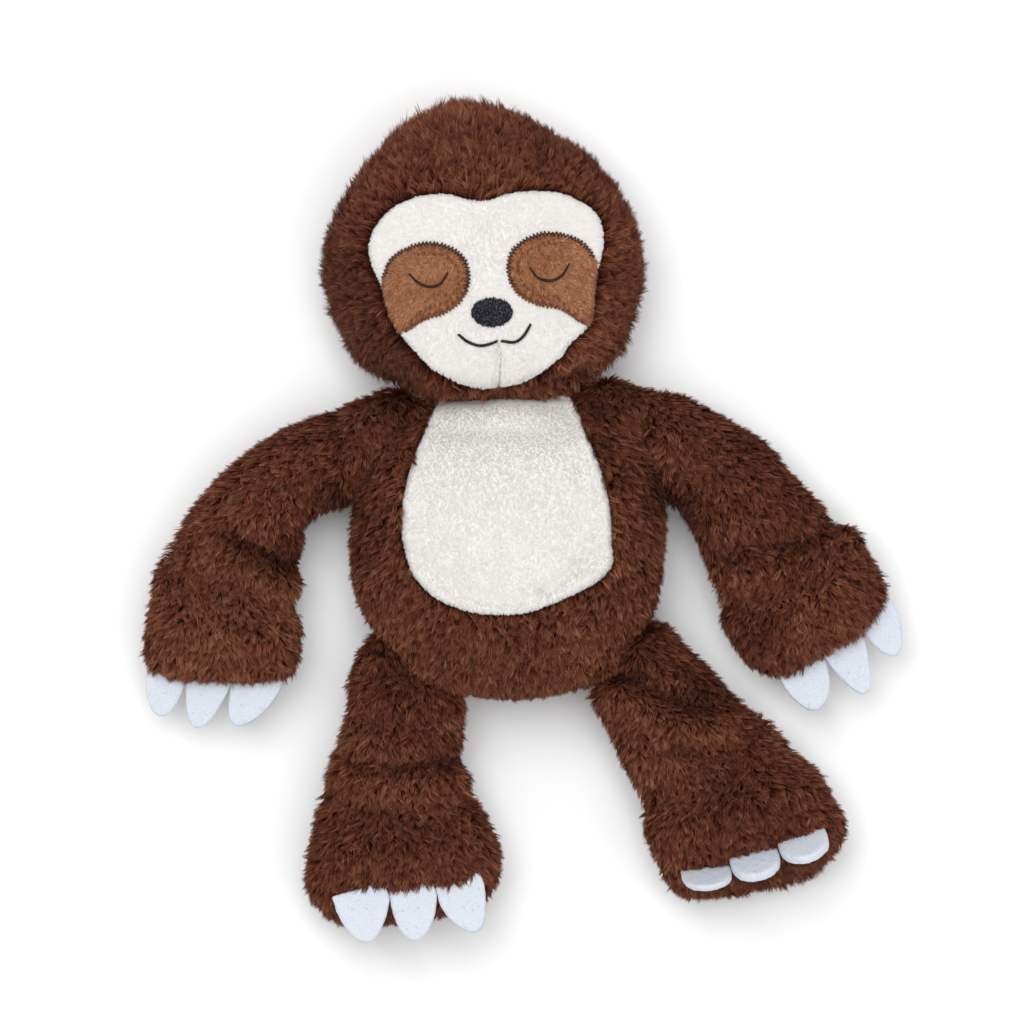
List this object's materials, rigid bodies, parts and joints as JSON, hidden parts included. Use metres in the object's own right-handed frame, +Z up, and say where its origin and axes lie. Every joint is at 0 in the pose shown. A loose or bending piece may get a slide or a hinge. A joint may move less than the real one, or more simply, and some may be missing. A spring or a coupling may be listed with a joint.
{
  "type": "plush sloth",
  "caption": "Floppy plush sloth lying on its back: long-pile covers over fibre filling, short-pile face and belly, felt claws; head, arms, paws, legs and feet hinge at their folds.",
  "frame": {"origin": "on the surface it lies on, under the middle of the toy's outline", "axes": "+Z up from that surface, out of the toy's belly; +Y towards the crown of the head; +X to the toy's own left side"},
  "size_m": [0.3082, 0.3374, 0.0711],
  "materials": {
    "brown_long_pile": "long polyester pile, clumped, darker at the roots",
    "white_short_pile": "short sheared polyester pile",
    "tan_short_pile": "short sheared polyester pile with a zigzag stitched edge",
    "black_thread": "satin stitched rayon thread",
    "brown_thread": "embroidery thread",
    "white_felt": "two layers of pressed felt, edges cut raw",
    "fibre_filling": "loose polyester fibre"
  },
  "bodies": {
    "torso": {"body_front_cover": "brown_long_pile", "body_back_cover": "brown_long_pile", "body_filling": "fibre_filling", "belly_panel": "white_short_pile"},
    "head": {"head_front_cover": "brown_long_pile", "head_back_cover": "brown_long_pile", "head_filling": "fibre_filling", "face_panel": "white_short_pile", "eye_patch_left": "tan_short_pile", "eye_patch_right": "tan_short_pile", "eyelid_left": "brown_thread", "eyelid_right": "brown_thread", "nose": "black_thread", "mouth": "black_thread"},
    "right_arm": {"right_arm_back_cover": "brown_long_pile", "right_arm_filling": "fibre_filling", "right_arm_front_cover": "brown_long_pile"},
    "right_paw": {"right_paw_claw_1": "white_felt", "right_paw_claw_2": "white_felt", "right_paw_claw_3": "white_felt", "right_paw_filling": "fibre_filling", "right_paw_palm_cover": "brown_long_pile", "right_paw_top_cover": "brown_long_pile"},
    "right_leg": {"right_leg_back_cover": "brown_long_pile", "right_leg_filling": "fibre_filling", "right_leg_front_cover": "brown_long_pile"},
    "right_foot": {"right_foot_claw_1": "white_felt", "right_foot_claw_2": "white_felt", "right_foot_claw_3": "white_felt", "right_foot_filling": "fibre_filling", "right_foot_sole_cover": "brown_long_pile", "right_foot_top_cover": "brown_long_pile"},
    "left_arm": {"left_arm_back_cover": "brown_long_pile", "left_arm_filling": "fibre_filling", "left_arm_front_cover": "brown_long_pile"},
    "left_paw": {"left_paw_claw_1": "white_felt", "left_paw_claw_2": "white_felt", "left_paw_claw_3": "white_felt", "left_paw_filling": "fibre_filling", "left_paw_palm_cover": "brown_long_pile", "left_paw_top_cover": "brown_long_pile"},
    "left_leg": {"left_leg_back_cover": "brown_long_pile", "left_leg_filling": "fibre_filling", "left_leg_front_cover": "brown_long_pile"},
    "left_foot": {"left_foot_claw_1": "white_felt", "left_foot_claw_2": "white_felt", "left_foot_claw_3": "white_felt", "left_foot_filling": "fibre_filling", "left_foot_sole_cover": "brown_long_pile", "left_foot_top_cover": "brown_long_pile"}
  },
  "joints": [
    {"name": "neck_nod", "type": "hinge", "parent": "torso", "child": "head", "pos_m": [-0.01044, 0.05806, 0.024], "axis": [0.9993, 0.0384, 0], "range_deg": [-35, 20]},
    {"name": "right_shoulder_swing", "type": "hinge", "parent": "torso", "child": "right_arm", "pos_m": [-0.07338, 0.02759, 0.024], "axis": [0.3612, 0.9325, 0], "range_deg": [-15, 50]},
    {"name": "right_wrist_bend", "type": "hinge", "parent": "right_arm", "child": "right_paw", "pos_m": [-0.11302, -0.01457, 0.021], "axis": [-0.9091, 0.4165, 0], "range_deg": [-20, 30]},
    {"name": "left_shoulder_swing", "type": "hinge", "parent": "torso", "child": "left_arm", "pos_m": [0.06265, 0.03282, 0.024], "axis": [0.4317, -0.902, 0], "range_deg": [-15, 50]},
    {"name": "left_wrist_bend", "type": "hinge", "parent": "left_arm", "child": "left_paw", "pos_m": [0.09996, -0.00979, 0.021], "axis": [-0.8702, -0.4926, 0], "range_deg": [-20, 30]},
    {"name": "right_hip_swing", "type": "hinge", "parent": "torso", "child": "right_leg", "pos_m": [-0.04333, -0.0763, 0.024], "axis": [-0.9087, 0.4175, 0], "range_deg": [-20, 45]},
    {"name": "right_ankle_bend", "type": "hinge", "parent": "right_leg", "child": "right_foot", "pos_m": [-0.04862, -0.10093, 0.02297], "axis": [-0.998, 0.0635, 0], "range_deg": [-25, 35]},
    {"name": "left_hip_swing", "type": "hinge", "parent": "torso", "child": "left_leg", "pos_m": [0.05307, -0.0636, 0.024], "axis": [-0.6879, -0.7258, 0], "range_deg": [-20, 45]},
    {"name": "left_ankle_bend", "type": "hinge", "parent": "left_leg", "child": "left_foot", "pos_m": [0.06732, -0.08774, 0.02296], "axis": [-0.7594, -0.6506, 0], "range_deg": [-25, 35]}
  ]
}
